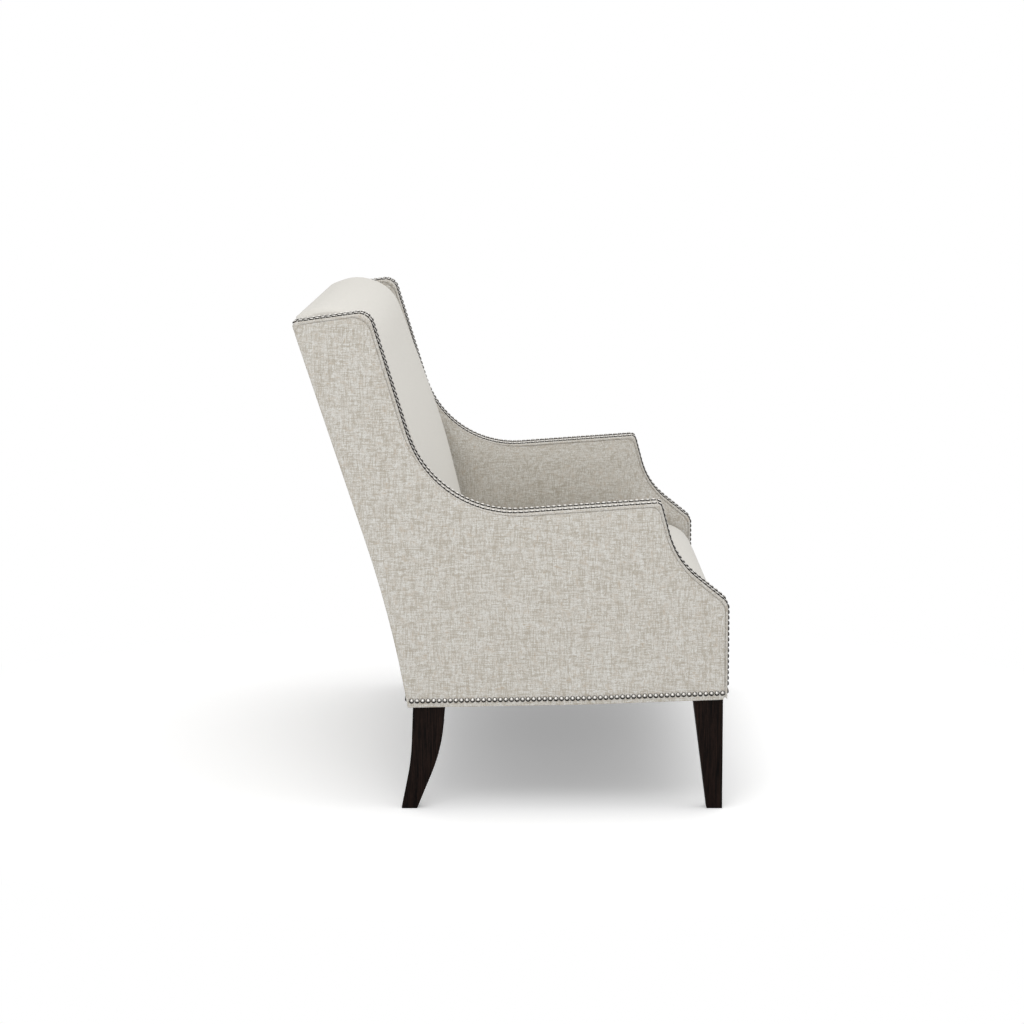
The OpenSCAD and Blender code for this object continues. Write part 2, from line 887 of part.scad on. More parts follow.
// Nail at x on the side outline at p, where the outline runs towards way
module outline_nail(x, p, way) {
    translate([x, p[0], p[1]])
        rotate([atan2(-way[1], -way[0]), 0, 0])
            nail();
}

// Places of the nails along a row of points, evenly spaced and centred, each with its direction.
// A nail lies on the chord under it, or on the row where the row stands out beyond the chord.
function nail_count(total) = floor(total / nail_pitch);
function nail_spot(row, lengths, s) =
    let (
        p = place_at(row, lengths, s)[0],
        a = place_at(row, lengths, s - nail_d / 2)[0],
        b = place_at(row, lengths, s + nail_d / 2)[0],
        way = heading(a, b),
        out = -left_of(way)
    )
    [p + out * max(0, ((a + b) / 2 - p) * out), way];
function nail_spots(row) =
    let (
        lengths = runs(row),
        total = lengths[len(row) - 1],
        count = nail_count(total),
        start = (total - (count - 1) * nail_pitch) / 2
    )
    [for (i = [0:count - 1]) nail_spot(row, lengths, start + i * nail_pitch)];

module left_border_nails() {
    row = [for (p = border_row) if (p[1] > base_front_h) p];
    last = [front_y, base_front_h + base_row_rise + nail_pitch / 2];
    color(pewter)
        for (x = [inner_x + row_inset, half_w - row_inset])
            for (place = nail_spots(concat(row, [last])))
                outline_nail(x, place[0], place[1]);
}

module left_base_nails() {
    corners = layer(0, 0, base_row_rise);
    row = concat(path(corners, border_last_index, len(corners) - 1), [spot(corners[0])]);
    color(pewter)
        for (place = nail_spots(row))
            translate([half_w, place[0][0], place[0][1]])
                rotate([0, 90, 0])
                    nail();
}

module across_nails(p, way) {
    count = nail_count(settee_w - 2 * nail_d);
    color(pewter)
        for (i = [0:count - 1])
            outline_nail((i - (count - 1) / 2) * nail_pitch, p, way);
}

module front_base_nails() {
    across_nails([front_y, base_front_h + base_row_rise], [0, -1]);
}

module rear_base_nails() {
    z = base_rear_h + base_row_rise;
    across_nails([rear_y(z), z], [sin(heel_lean), cos(heel_lean)]);
}

// Legs, straight on their outer faces and tapered on their inner faces
leg_top = base_front_h + cloth_t + over;

module leg_front_view() {
    polygon([
        [leg_x - foot_w, 0],
        [leg_x, 0],
        [leg_x, leg_top],
        [leg_x - front_leg_w, leg_top]
    ]);
}

module leg(place) {
    color(espresso)
        difference() {
            intersection() {
                lengthwise(-half_d, half_d)
                    leg_front_view();
                across(leg_x - front_leg_w - over, leg_x + over)
                    difference() {
                        children();
                        polygon(outline(core_corners));
                    }
            }
            bolt(place, fit);
        }
}

module left_front_leg() {
    leg(bolt_places[0])
        polygon([
            [front_leg_y, 0],
            [front_leg_y + foot_w, 0],
            [front_leg_y + front_leg_w, leg_top],
            [front_leg_y, leg_top]
        ]);
}

heel_knee_share = 0.47;
heel_step_share = 0.2;
shin_knee_share = 0.58;
shin_step_share = 0.16;

module left_rear_leg() {
    foot_y = rear_leg_y + rear_leg_kick;
    shin_y = rear_leg_y - rear_leg_w;
    leg(bolt_places[1])
        polygon(outline([
            [shin_y, leg_top, 0],
            [mix(shin_y, foot_y - foot_w, shin_step_share), base_rear_h * shin_knee_share, shin_r],
            [foot_y - foot_w, 0, 0],
            [foot_y, 0, 0],
            [mix(rear_leg_y, foot_y, heel_step_share), base_rear_h * heel_knee_share, heel_r],
            [rear_leg_y, leg_top, 0]
        ]));
}

// Bolts from the legs up into the blocks
module leg_bolts() {
    color(steel)
        both_sides()
            for (place = bolt_places)
                bolt(place, 0);
}

module right_outer_ply() to_right() left_outer_ply();
module right_inner_ply() to_right() left_inner_ply();
module right_arm_fillers() to_right() left_arm_fillers();
module right_leg_blocks() to_right() left_leg_blocks();
module right_side_rail() to_right() left_side_rail();
module right_outer_panel() to_right() left_outer_panel();
module right_inner_panel() to_right() left_inner_panel();
module right_border() to_right() left_border();
module right_border_nails() to_right() left_border_nails();
module right_base_nails() to_right() left_base_nails();
module right_front_leg() to_right() left_front_leg();
module right_rear_leg() to_right() left_rear_leg();

left_outer_ply();
right_outer_ply();
left_inner_ply();
right_inner_ply();
left_arm_fillers();
right_arm_fillers();
left_leg_blocks();
right_leg_blocks();
front_rail();
rear_rail();
left_side_rail();
right_side_rail();
middle_stretcher();
corner_braces();
back_posts();
back_top_rail();
back_tack_rail();
seat_springs();
spring_clips();
seat_deck();
seat_foam();
seat_cover();
back_upright_webs();
back_cross_webs();
back_foam();
back_cover();
outside_back();
left_outer_panel();
right_outer_panel();
left_inner_panel();
right_inner_panel();
left_border();
right_border();
front_panel();
dust_cover();
left_border_nails();
right_border_nails();
left_base_nails();
right_base_nails();
front_base_nails();
rear_base_nails();
left_front_leg();
right_front_leg();
left_rear_leg();
right_rear_leg();
leg_bolts();
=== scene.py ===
# %% [markdown]
# # Dressing a two seat settee
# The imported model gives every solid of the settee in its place: the frame, the springs, the foam,
# plain solids for the covers, and one small dome for each nailhead. This lesson keeps the solids
# whose shape is right, gives them finishes, and builds softer and finer pieces over the rest:
# the seat and back covers, the linen arms with their nailed borders, and the stained legs.

import math

import bmesh
import bpy
from mathutils import Matrix, Vector, noise
from mathutils.geometry import convex_hull_2d
from mathutils.kdtree import KDTree


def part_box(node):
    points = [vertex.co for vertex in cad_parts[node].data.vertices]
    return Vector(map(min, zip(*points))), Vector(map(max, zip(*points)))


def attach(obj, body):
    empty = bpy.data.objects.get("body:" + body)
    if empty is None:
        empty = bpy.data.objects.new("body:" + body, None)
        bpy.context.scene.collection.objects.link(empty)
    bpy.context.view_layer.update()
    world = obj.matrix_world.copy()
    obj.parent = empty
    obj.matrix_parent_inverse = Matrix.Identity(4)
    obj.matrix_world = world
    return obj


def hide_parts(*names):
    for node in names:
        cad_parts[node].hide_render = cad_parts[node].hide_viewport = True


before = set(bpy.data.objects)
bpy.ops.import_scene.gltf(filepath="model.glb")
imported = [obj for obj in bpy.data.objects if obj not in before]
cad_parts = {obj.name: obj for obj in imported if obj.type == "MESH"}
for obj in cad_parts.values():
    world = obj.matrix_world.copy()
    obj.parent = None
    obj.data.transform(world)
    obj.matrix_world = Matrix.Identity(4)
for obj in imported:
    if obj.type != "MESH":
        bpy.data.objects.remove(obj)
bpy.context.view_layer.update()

# %% [markdown]
# ## The view
# The settee is seen square on to its side from a little above. A long lens, far away, keeps the two
# arms close to one size. The lens length in millimetres is the length in pixels times the sensor
# width over the image width, so the two can be worked out from one another.

# %% Place the camera
scene = bpy.context.scene
image_px = 1024
lens_px = 3000
eye = Vector((-6.7, 0.0, 1.397))
look_down = math.radians(7.444)

camera_data = bpy.data.cameras.new("side_camera")
camera_data.sensor_width = 36
camera_data.lens = camera_data.sensor_width * lens_px / image_px
camera_data.clip_end = 100
camera = bpy.data.objects.new("side_camera", camera_data)
camera.location = eye
gaze = Vector((math.cos(look_down), 0, -math.sin(look_down)))
camera.rotation_euler = gaze.to_track_quat("-Z", "Y").to_euler()
scene.collection.objects.link(camera)
scene.camera = camera
print("lens:", round(camera_data.lens, 1), "mm")

# %% [markdown]
# ## Light
# A studio tent gives light from everywhere, so the world is a plain white that lights evenly. One
# large soft lamp hangs above and a little in front, so that tops are brighter than sides and the
# shadow on the floor lies a little towards the rear. Two smaller ones on the camera's side lift the
# near panel and put a highlight on each nailhead. The view transform is Standard, so that a colour
# renders about as it is written.

# %% Light the scene
scene.view_settings.view_transform = "Standard"


def seen_rays(tree):
    path = tree.nodes.new("ShaderNodeLightPath")
    total = path.outputs["Is Camera Ray"]
    for label in ("Is Glossy Ray", "Is Transmission Ray"):
        node = tree.nodes.new("ShaderNodeMath")
        node.operation = "MAXIMUM"
        tree.links.new(total, node.inputs[0])
        tree.links.new(path.outputs[label], node.inputs[1])
        total = node.outputs[0]
    return total


def make_world(strength):
    world = bpy.data.worlds.new("light_tent")
    world.use_nodes = True
    nodes, links = world.node_tree.nodes, world.node_tree.links
    nodes.clear()
    out = nodes.new("ShaderNodeOutputWorld")
    seen = nodes.new("ShaderNodeBackground")
    seen.inputs["Strength"].default_value = 1
    lit = nodes.new("ShaderNodeBackground")
    lit.inputs["Strength"].default_value = strength
    for node in (seen, lit):
        node.inputs["Color"].default_value = (1, 1, 1, 1)
    mix = nodes.new("ShaderNodeMixShader")
    links.new(seen_rays(world.node_tree), mix.inputs[0])
    links.new(lit.outputs[0], mix.inputs[1])
    links.new(seen.outputs[0], mix.inputs[2])
    links.new(mix.outputs[0], out.inputs["Surface"])
    return world


def soft_lamp(name, place, target, size, watts):
    data = bpy.data.lights.new(name, "AREA")
    data.shape = "RECTANGLE"
    data.size, data.size_y = size
    data.energy = watts
    lamp = bpy.data.objects.new(name, data)
    lamp.location = place
    lamp.rotation_euler = (Vector(target) - Vector(place)).to_track_quat("-Z", "Y").to_euler()
    scene.collection.objects.link(lamp)


world_level = 0.68
scene.world = make_world(world_level)
soft_lamp("top_lamp", place=(0.25, -0.45, 3.4), target=(0, 0, 0.5), size=(4.5, 3.6), watts=49)
soft_lamp("low_side_lamp", place=(-3.6, 0.2, 0.95), target=(0, 0, 0.55), size=(1.6, 0.8), watts=17)
soft_lamp("high_side_lamp", place=(-2.4, 0.3, 2.6), target=(-0.6, 0.1, 0.6), size=(1.4, 1.2),
          watts=14)
print("world:", world_level, "lamps:", len(bpy.data.lights))

# %% [markdown]
# ## Shared effects
# Cloth and wood each have a pattern that more than one finish uses. A node group holds such a
# pattern once, with its settings as inputs, and each material places it with its own values. The
# groups put out only colours and heights. The patterns are noise: squeezed along one or two axes
# of the object it gives the streaks of yarn and of grain, and evenly scaled it gives clouds and
# spots. A seed shifts the noise, so that the families of yarn differ from one another.


# %% Helpers for node groups
def new_group(name, inputs, outputs):
    group = bpy.data.node_groups.new(name, "ShaderNodeTree")
    for label, kind, value in inputs:
        socket = group.interface.new_socket(label, in_out="INPUT", socket_type=kind)
        socket.default_value = value
    for label, kind in outputs:
        group.interface.new_socket(label, in_out="OUTPUT", socket_type=kind)
    return group, group.nodes.new("NodeGroupInput"), group.nodes.new("NodeGroupOutput")


def feed(tree, value, socket):
    if isinstance(value, bpy.types.NodeSocket):
        tree.links.new(value, socket)
    else:
        socket.default_value = value


def math_node(tree, kind, a, b):
    node = tree.nodes.new("ShaderNodeMath")
    node.operation = kind
    feed(tree, a, node.inputs[0])
    feed(tree, b, node.inputs[1])
    return node.outputs[0]


def chain(tree, kind, values):
    total = values[0]
    for value in values[1:]:
        total = math_node(tree, kind, total, value)
    return total


def mix_colour(tree, factor, a, b):
    node = tree.nodes.new("ShaderNodeMix")
    node.data_type = "RGBA"
    feed(tree, factor, node.inputs["Factor"])
    feed(tree, a, node.inputs["A"])
    feed(tree, b, node.inputs["B"])
    return node.outputs["Result"]


def streaks(tree, where, squeeze, detail, seed=0.0):
    scaled = tree.nodes.new("ShaderNodeMapping")
    tree.links.new(where, scaled.inputs["Vector"])
    scaled.inputs["Location"].default_value = (seed, seed * 1.7, seed * 2.3)
    scaled.inputs["Scale"].default_value = squeeze
    tex = tree.nodes.new("ShaderNodeTexNoise")
    tex.inputs["Scale"].default_value = 1.0
    tex.inputs["Detail"].default_value = detail
    tree.links.new(scaled.outputs["Vector"], tex.inputs["Vector"])
    return tex.outputs["Fac"]


def ramp(tree, value, low, high):
    node = tree.nodes.new("ShaderNodeMapRange")
    node.interpolation_type = "SMOOTHSTEP"
    feed(tree, value, node.inputs["Value"])
    feed(tree, low, node.inputs["From Min"])
    feed(tree, high, node.inputs["From Max"])
    return node.outputs["Result"]


print("helpers ready")

# %% [markdown]
# ### Woven cloth
# Linen is woven from uneven yarn. Where a yarn is thick, a slub, it catches the light for a few
# centimetres, and its colour differs a little from its neighbours. Three families of streaks, one
# along each axis, make yarns that run both ways on whichever face they lie. The strongest streaks
# become slubs of a third colour, more of them where a broad noise is high, so that the cloth looks
# cloudy. A fine grid of waves, one pair to each direction of face, gives the weave itself. The
# scales below count waves or streaks to a metre, roughly for noise and in radians for waves. On a
# leaning face upright yarns would break up, so a piece may carry an attribute called lean, its
# slope in metres back for each metre up, and the pattern leans with it.


# %% Woven cloth group
along_yarn, across_yarn = 48, 520
cloud_scale = 60
thread_waves = 3900


def leaning_place(group, axes):
    lean = group.nodes.new("ShaderNodeAttribute")
    lean.attribute_name = "lean"
    shift = math_node(group, "MULTIPLY", lean.outputs["Fac"], axes.outputs["Z"])
    back = math_node(group, "SUBTRACT", axes.outputs["Y"], shift)
    place = group.nodes.new("ShaderNodeCombineXYZ")
    for i, value in enumerate((axes.outputs["X"], back, axes.outputs["Z"])):
        group.links.new(value, place.inputs[i])
    return place.outputs[0]


def yarn_families(group, place):
    families = []
    for axis in range(3):
        squeeze = [across_yarn] * 3
        squeeze[axis] = along_yarn
        families.append(streaks(group, place, squeeze, detail=2.0, seed=3.1 + axis))
    return families


def weave_height(group, axes, yarn, weave_share=0.04):
    waves = []
    for i in range(3):
        turns = math_node(group, "MULTIPLY", axes.outputs[i], thread_waves)
        waves.append(math_node(group, "SINE", turns, 0))
    pairs = [math_node(group, "MULTIPLY", waves[i], waves[i - 1]) for i in range(3)]
    weave = math_node(group, "MULTIPLY", chain(group, "ADD", pairs), weave_share)
    return math_node(group, "ADD", yarn, weave)


def woven_cloth(light_to_dark=(0.22, -0.22), slub_from=0.61, slub_full=0.74, slub_cloud=0.5):
    group, given, out = new_group(
        "woven_cloth",
        [("Light", "NodeSocketColor", (0.7, 0.7, 0.65, 1)),
         ("Dark", "NodeSocketColor", (0.5, 0.45, 0.4, 1)),
         ("Slub", "NodeSocketColor", (0.4, 0.35, 0.3, 1)),
         ("Contrast", "NodeSocketFloat", 1.0),
         ("Slubs", "NodeSocketFloat", 0.5),
         ("Cloud", "NodeSocketFloat", 0.3)],
        [("Color", "NodeSocketColor"), ("Height", "NodeSocketFloat")])
    axes = group.nodes.new("ShaderNodeSeparateXYZ")
    group.links.new(group.nodes.new("ShaderNodeTexCoord").outputs["Object"], axes.inputs[0])
    place = leaning_place(group, axes)
    families = yarn_families(group, place)
    mean = math_node(group, "MULTIPLY", chain(group, "ADD", families), 1 / 3)
    yarn = math_node(group, "SUBTRACT", mean, 0.5)
    noise_cloud = streaks(group, place, [cloud_scale] * 3, detail=5.0, seed=9.0)
    cloud = math_node(group, "SUBTRACT", noise_cloud, 0.5)
    drift = math_node(group, "MULTIPLY", cloud, given.outputs["Cloud"])
    shade = math_node(group, "MULTIPLY", yarn, given.outputs["Contrast"])
    darkness = ramp(group, math_node(group, "ADD", shade, drift), *light_to_dark)
    colour = mix_colour(group, darkness, given.outputs["Light"], given.outputs["Dark"])
    strongest = chain(group, "MAXIMUM", families)
    clouded = math_node(group, "ADD", strongest, math_node(group, "MULTIPLY", cloud, slub_cloud))
    thick = ramp(group, clouded, slub_from, slub_full)
    slub = math_node(group, "MULTIPLY", thick, given.outputs["Slubs"])
    group.links.new(mix_colour(group, slub, colour, given.outputs["Slub"]), out.inputs["Color"])
    group.links.new(weave_height(group, axes, yarn), out.inputs["Height"])
    return group


cloth_group = woven_cloth()
print("group:", cloth_group.name)

# %% [markdown]
# ### Wood grain
# Grain is a noise that is squeezed across the board and left long along it. A second, finer one
# makes the pores, which stain fills and darkens.


# %% Wood grain group
def wood_grain(broad_share=0.6, waver=0.4, dark_to_light=(0.38, 0.62)):
    group, given, out = new_group(
        "wood_grain",
        [("Light", "NodeSocketColor", (0.5, 0.35, 0.2, 1)),
         ("Dark", "NodeSocketColor", (0.3, 0.2, 0.1, 1)),
         ("Along", "NodeSocketVector", (60, 60, 4))],
        [("Color", "NodeSocketColor"), ("Height", "NodeSocketFloat")])
    place = group.nodes.new("ShaderNodeTexCoord").outputs["Object"]

    def grain(multiple, detail):
        scaled = group.nodes.new("ShaderNodeVectorMath")
        scaled.operation = "MULTIPLY"
        group.links.new(place, scaled.inputs[0])
        group.links.new(given.outputs["Along"], scaled.inputs[1])
        tex = group.nodes.new("ShaderNodeTexNoise")
        tex.inputs["Scale"].default_value = multiple
        tex.inputs["Detail"].default_value = detail
        tex.inputs["Distortion"].default_value = waver
        group.links.new(scaled.outputs["Vector"], tex.inputs["Vector"])
        return tex.outputs["Fac"]

    broad = math_node(group, "MULTIPLY", grain(multiple=1.0, detail=4.0), broad_share)
    pores = math_node(group, "MULTIPLY", grain(multiple=6.0, detail=2.0), 1 - broad_share)
    both = math_node(group, "ADD", broad, pores)
    amount = ramp(group, both, *dark_to_light)
    colour = mix_colour(group, amount, given.outputs["Dark"], given.outputs["Light"])
    group.links.new(colour, out.inputs["Color"])
    group.links.new(both, out.inputs["Height"])
    return group


grain_group = wood_grain()
print("group:", grain_group.name)


# %% [markdown]
# ## Finishes
# Each material is one Principled shader, fed by a group, or on metal by plain spots, and by a Bump
# node that turns the pattern's height into relief. The shader's own sockets hold what is the same
# all over. The linen's three colours are its pale yarn, its dark yarn and its brown slubs.

# %% Material helpers
def new_material(name, roughness, metallic=0.0):
    material = bpy.data.materials.new(name)
    material.use_nodes = True
    tree = material.node_tree
    shader = tree.nodes["Principled BSDF"]
    shader.inputs["Roughness"].default_value = roughness
    shader.inputs["Metallic"].default_value = metallic
    return material, tree, shader


def place_group(tree, group, **values):
    node = tree.nodes.new("ShaderNodeGroup")
    node.node_tree = group
    for label, value in values.items():
        node.inputs[label].default_value = value
    return node


def add_bump(tree, shader, height, depth, strength):
    bump = tree.nodes.new("ShaderNodeBump")
    bump.inputs["Distance"].default_value = depth
    bump.inputs["Strength"].default_value = strength
    tree.links.new(height, bump.inputs["Height"])
    tree.links.new(bump.outputs["Normal"], shader.inputs["Normal"])


print("material helpers ready")


# %% Cloth, wood and metal
def cloth(name, light, dark, slub, contrast, slubs, cloud, depth):
    material, tree, shader = new_material(name, roughness=0.92)
    shader.inputs["Specular IOR Level"].default_value = 0.15
    shader.inputs["Sheen Weight"].default_value = 0.12
    shader.inputs["Sheen Roughness"].default_value = 0.5
    weave = place_group(tree, cloth_group, Light=(*light, 1), Dark=(*dark, 1), Slub=(*slub, 1),
                        Contrast=contrast, Slubs=slubs, Cloud=cloud)
    tree.links.new(weave.outputs["Color"], shader.inputs["Base Color"])
    add_bump(tree, shader, weave.outputs["Height"], depth, strength=0.5)
    return material


def wood(name, light, dark, along, roughness, depth=0.0002, gloss=0.5):
    material, tree, shader = new_material(name, roughness)
    shader.inputs["Specular IOR Level"].default_value = gloss
    grain = place_group(tree, grain_group, Light=(*light, 1), Dark=(*dark, 1), Along=along)
    tree.links.new(grain.outputs["Color"], shader.inputs["Base Color"])
    add_bump(tree, shader, grain.outputs["Height"], depth, strength=0.4)
    return material


def metal(name, light, dark, roughness, spot_scale=160):
    material, tree, shader = new_material(name, roughness, metallic=1.0)
    place = tree.nodes.new("ShaderNodeTexCoord").outputs["Object"]
    spots = streaks(tree, place, [spot_scale] * 3, detail=3.0)
    colour = mix_colour(tree, ramp(tree, spots, 0.3, 0.7), (*dark, 1), (*light, 1))
    tree.links.new(colour, shader.inputs["Base Color"])
    add_bump(tree, shader, spots, depth=0.0001, strength=0.3)
    return material


print("kinds of finish: cloth, wood, metal")

# %% Mix the finishes
linen = cloth("mottled_linen", light=(0.63, 0.625, 0.598), dark=(0.40, 0.365, 0.31),
              slub=(0.33, 0.25, 0.16), contrast=2.7, slubs=0.65, cloud=0.5, depth=0.0006)
cream = cloth("plain_cream", light=(0.66, 0.64, 0.595), dark=(0.61, 0.59, 0.545),
              slub=(0.58, 0.56, 0.51), contrast=1.0, slubs=0.2, cloud=0.2, depth=0.0003)
black_cloth = cloth("black_dust_cloth", light=(0.03, 0.03, 0.03), dark=(0.015, 0.015, 0.015),
                    slub=(0.01, 0.01, 0.01), contrast=1.5, slubs=0.3, cloud=0.3, depth=0.0003)
jute = cloth("jute_webbing", light=(0.55, 0.42, 0.24), dark=(0.36, 0.26, 0.14),
             slub=(0.25, 0.17, 0.08), contrast=2.5, slubs=0.5, cloud=0.4, depth=0.0008)
espresso = wood("espresso_stain", light=(0.015, 0.008, 0.006), dark=(0.0012, 0.0008, 0.0008),
                along=(420, 420, 16), roughness=0.5, depth=0.0003, gloss=0.05)
planed = {"light": (0.62, 0.45, 0.27), "dark": (0.45, 0.30, 0.16), "roughness": 0.7}
frame_wood = wood("frame_hardwood", along=(5, 60, 60), **planed)
post_wood = wood("post_hardwood", along=(60, 60, 5), **planed)
rail_wood = wood("side_hardwood", along=(60, 5, 60), **planed)
ply_wood = wood("arm_plywood", light=(0.70, 0.54, 0.34), dark=(0.56, 0.40, 0.23),
                along=(60, 4, 30), roughness=0.7)
steel = metal("spring_steel", light=(0.42, 0.42, 0.44), dark=(0.22, 0.22, 0.23), roughness=0.35)
print("finishes:", len(bpy.data.materials))

# %% [markdown]
# ## The frame inside
# The rails, posts, springs and webs are hidden under the covers, and their solids already have the
# right shape, so they only get a finish. Grain runs along a board, so the boards that lie along the
# settee, those that stand and those that run from front to rear have a hardwood each.

# %% Finish the pieces of the frame
finish_of = {
    "front_rail": frame_wood, "rear_rail": frame_wood, "back_top_rail": frame_wood,
    "back_tack_rail": frame_wood, "corner_braces": frame_wood, "back_posts": post_wood,
    "middle_stretcher": rail_wood, "seat_springs": steel, "spring_clips": steel,
    "leg_bolts": steel, "seat_deck": black_cloth, "back_upright_webs": jute,
    "back_cross_webs": jute,
}
for side in ("left", "right"):
    finish_of[side + "_outer_ply"] = finish_of[side + "_inner_ply"] = ply_wood
    finish_of[side + "_arm_fillers"] = finish_of[side + "_side_rail"] = rail_wood
    finish_of[side + "_leg_blocks"] = post_wood


def set_material(obj, material):
    obj.data.materials.clear()
    obj.data.materials.append(material)


for node, material in finish_of.items():
    set_material(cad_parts[node], material)
print("frame pieces finished:", len(finish_of))

# %% [markdown]
# ## Building on a solid
# A cover lies exactly where its plain solid lies, so each new piece starts from a copy of that
# solid. The copy is loose triangles: they are merged, and flat areas become single faces again, so
# that bevels and cuts work on real edges.


# %% Helpers for new pieces
def merged_copy(*nodes, weld=0.00002, nearly_flat=0.5):
    bm = bmesh.new()
    for node in nodes:
        bm.from_mesh(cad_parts[node].data)
    bmesh.ops.remove_doubles(bm, verts=bm.verts, dist=weld)
    bmesh.ops.dissolve_limit(bm, angle_limit=math.radians(nearly_flat), verts=bm.verts,
                             edges=bm.edges)
    return bm


def make_piece(bm, name, material, nodes, sharp=40):
    for face in bm.faces:
        face.smooth = True
    for edge in bm.edges:
        if len(edge.link_faces) == 2 and edge.calc_face_angle(0) > math.radians(sharp):
            edge.smooth = False
    mesh = bpy.data.meshes.new(name)
    bm.to_mesh(mesh)
    bm.free()
    obj = bpy.data.objects.new(name, mesh)
    scene.collection.objects.link(obj)
    set_material(obj, material)
    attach(obj, "root")
    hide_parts(*nodes)
    return obj


def cut_at(bm, place, normal):
    everything = bm.verts[:] + bm.edges[:] + bm.faces[:]
    bmesh.ops.bisect_plane(bm, geom=everything, plane_co=place, plane_no=normal, dist=1e-6)


def cut_grid(bm, axis, step, low, high):
    count = max(1, round((high - low) / step))
    normal = Vector((0, 0, 0))
    normal[axis] = 1
    for i in range(1, count):
        cut_at(bm, normal * (low + (high - low) * i / count), normal)


def ease_edges(bm, edges, width, segments):
    bmesh.ops.bevel(bm, geom=edges, offset=width, affect="EDGES", segments=segments, profile=0.5,
                    material=-1)


print("piece helpers ready")

# %% [markdown]
# ## Arm panels
# Each arm is closed by a flat linen panel outside and a padded one inside. Pulled tight over
# wadding, a panel rolls away in its last centimetres to the seam, and the padded one is fullest
# midway between the seams and the lines where the seat and the back press on it. The rim is
# bevelled first and laid a little over the border's side, where the seam runs: everywhere but at
# the foot and along the rear, which have no border. Then the face is cut into a grid, and each
# point of the grid is raised by how far it lies from those lines.


# %% Outlines in the side view
def side_hull(node):
    end_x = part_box(node)[1].x - 0.001
    points = [Vector((v.co.y, v.co.z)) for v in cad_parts[node].data.vertices
              if v.co.x > end_x]
    return [points[i] for i in convex_hull_2d(points)]


def inside(hull, point):
    return all((b - a).cross(point - a) >= 0 for a, b in zip(hull, hull[1:] + hull[:1]))


def dense(a, b, step=0.004):
    count = max(1, int((b - a).length / step))
    return [a.lerp(b, i / count) for i in range(count)]


seat_side, back_side = side_hull("seat_cover"), side_hull("back_cover")
print("corners of the side outlines:", len(seat_side), len(back_side))


# %% Lay the rim of a panel over the border
seam_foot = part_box("left_border")[0].z + 0.004
seam_round, seam_lip = 0.0025, 0.0022
same_plane, faces_rear = 1e-5, 0.6


def round_rim(bm, face_x):
    bm.normal_update()
    rim = [e for e in bm.edges if all(abs(v.co.x - face_x) < same_plane for v in e.verts)
           and any(abs(f.normal.x) < 0.5 for f in e.link_faces)]
    ease_edges(bm, rim, seam_round, segments=3)
    bm.normal_update()


def lay_lip(bm, out_x, face_x):
    outward = {}
    for v in bm.verts:
        on_rim = out_x * (v.co.x - face_x) > -seam_round - same_plane
        if on_rim and v.co.z > seam_foot - same_plane:
            way = sum((Vector((f.normal.y, f.normal.z)) for f in v.link_faces), Vector((0, 0)))
            if way.length > 0.01 and way.normalized().x < faces_rear:
                outward[v] = way.normalized() * seam_lip
    for v, way in outward.items():
        v.co.y += way.x
        v.co.z += way.y


print("foot of the seam:", round(seam_foot, 4))


# %% Fill the face of a panel
panel_grid, roll_away, crown_reach = 0.015, 0.012, 0.08
ripple_height, ripple_scale, ripple_reach = 0.0006, 9, 0.05


def tree_of_lines(bm, flat, lines):
    sides = []
    for e in bm.edges:
        if set(e.verts) <= flat and any(not set(f.verts) <= flat for f in e.link_faces):
            sides += dense(*[Vector((v.co.y, v.co.z)) for v in e.verts])
    for hull in lines:
        for a, b in zip(hull, hull[1:] + hull[:1]):
            sides += dense(a, b)
    tree = KDTree(len(sides))
    for i, point in enumerate(sides):
        tree.insert((point.x, point.y, 0), i)
    tree.balance()
    return tree


def fill_face(bm, out_x, face_x, rise, crown, lines):
    flat = {v for v in bm.verts if abs(v.co.x - face_x) < same_plane}
    tree = tree_of_lines(bm, flat, lines)
    for v in flat:
        point = Vector((v.co.y, v.co.z))
        if any(inside(hull, point) for hull in lines):
            continue
        away = tree.find((point.x, point.y, 0))[2]
        rolled = rise * (1 - math.exp(-away / roll_away))
        crowned = crown * math.sin(math.pi / 2 * min(1, away / crown_reach))
        ripple = ripple_height * noise.noise(v.co * ripple_scale) * min(1, away / ripple_reach)
        v.co.x += out_x * (rolled + crowned + ripple)


print("grid of a panel:", panel_grid)


# %% Make the arm panels
def make_panel(node, name, out_x, rise, crown, lines):
    bm = merged_copy(node)
    low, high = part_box(node)
    face_x = high.x if out_x > 0 else low.x
    for height in (seam_foot - 0.002, seam_foot):
        cut_at(bm, Vector((0, 0, height)), Vector((0, 0, 1)))
    round_rim(bm, face_x)
    lay_lip(bm, out_x, face_x)
    for axis in (1, 2):
        cut_grid(bm, axis, panel_grid, low[axis], high[axis])
    fill_face(bm, out_x, face_x, rise, crown, lines)
    print(name, "faces:", len(bm.faces))
    return make_piece(bm, name, linen, [node])


for side, out in (("left", 1), ("right", -1)):
    outside = make_panel(side + "_outer_panel", side + "_arm_outside", out, rise=0.0012, crown=0,
                         lines=[])
    padded = make_panel(side + "_inner_panel", side + "_arm_inside", -out, rise=0.003, crown=0.014,
                        lines=[seat_side, back_side])

# %% [markdown]
# ## Borders
# A strip of linen runs over the wing, along the arm and down its front. The solid already has its
# two rounded edges, so a merged copy with smooth shading is enough. The rings at its two sides are
# drawn into the arm, so that the border dips under the lip of the panel and a fine groove marks
# the seam.


# %% Make the borders
side_ring, drawn_under = 0.0003, 0.006


